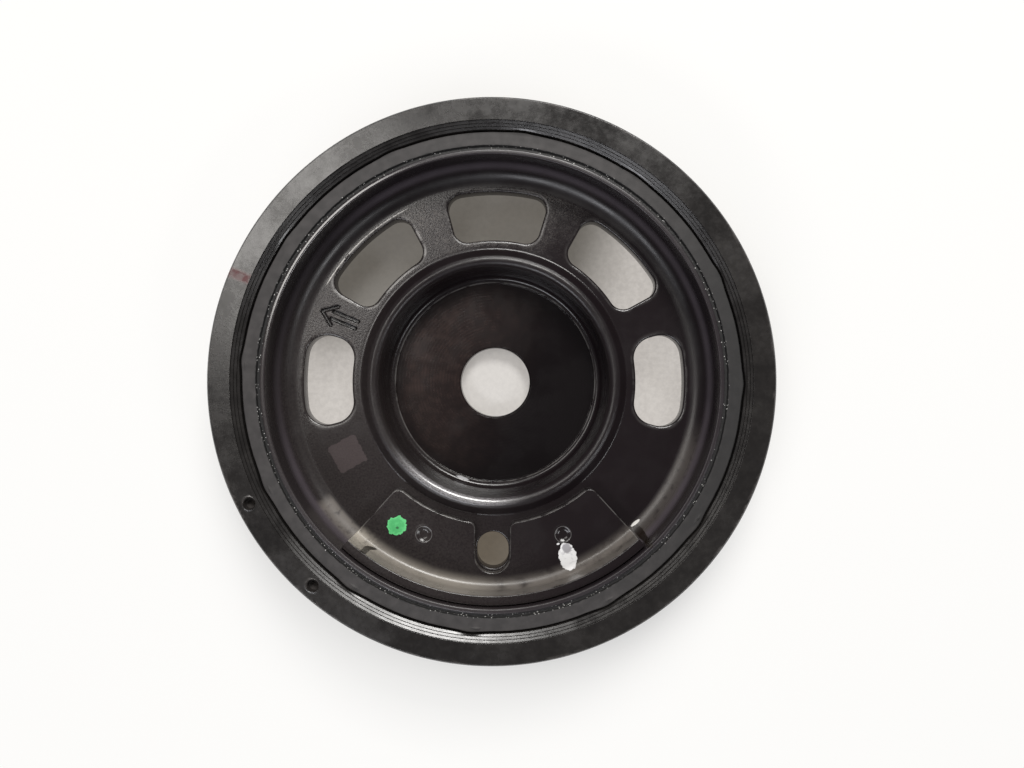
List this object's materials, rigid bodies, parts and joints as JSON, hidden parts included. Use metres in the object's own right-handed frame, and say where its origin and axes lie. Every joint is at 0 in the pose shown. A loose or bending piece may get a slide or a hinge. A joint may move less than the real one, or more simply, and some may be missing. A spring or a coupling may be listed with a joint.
{
  "type": "crankshaft pulley",
  "caption": "Crankshaft pulley with a drawn steel hub, a rubber-mounted ring with belt grooves, web windows and a welded balance plate; turns the accessory belt and damps the shaft.",
  "frame": {"origin": "middle of the hub's seat face, which bears on the crankshaft, at the bottom of the pulley's box", "axes": "+Z along the pulley's axis, away from the engine; +Y away from the balance plate; +X to the right as seen from the front"},
  "size_m": [0.14, 0.14, 0.028],
  "materials": {
    "hub_coat": "gloss black dip coat on drawn steel, oily in places",
    "band_rubber": "matte dark grey rubber",
    "ring_iron": "satin black machined iron, worn and slightly cloudy",
    "plate_coat": "gloss black dip coat with two paint dabs"
  },
  "bodies": {
    "root": {"hub": "hub_coat", "rubber_ring": "band_rubber", "pulley_ring": "ring_iron", "balance_plate": "plate_coat"}
  },
  "joints": []
}
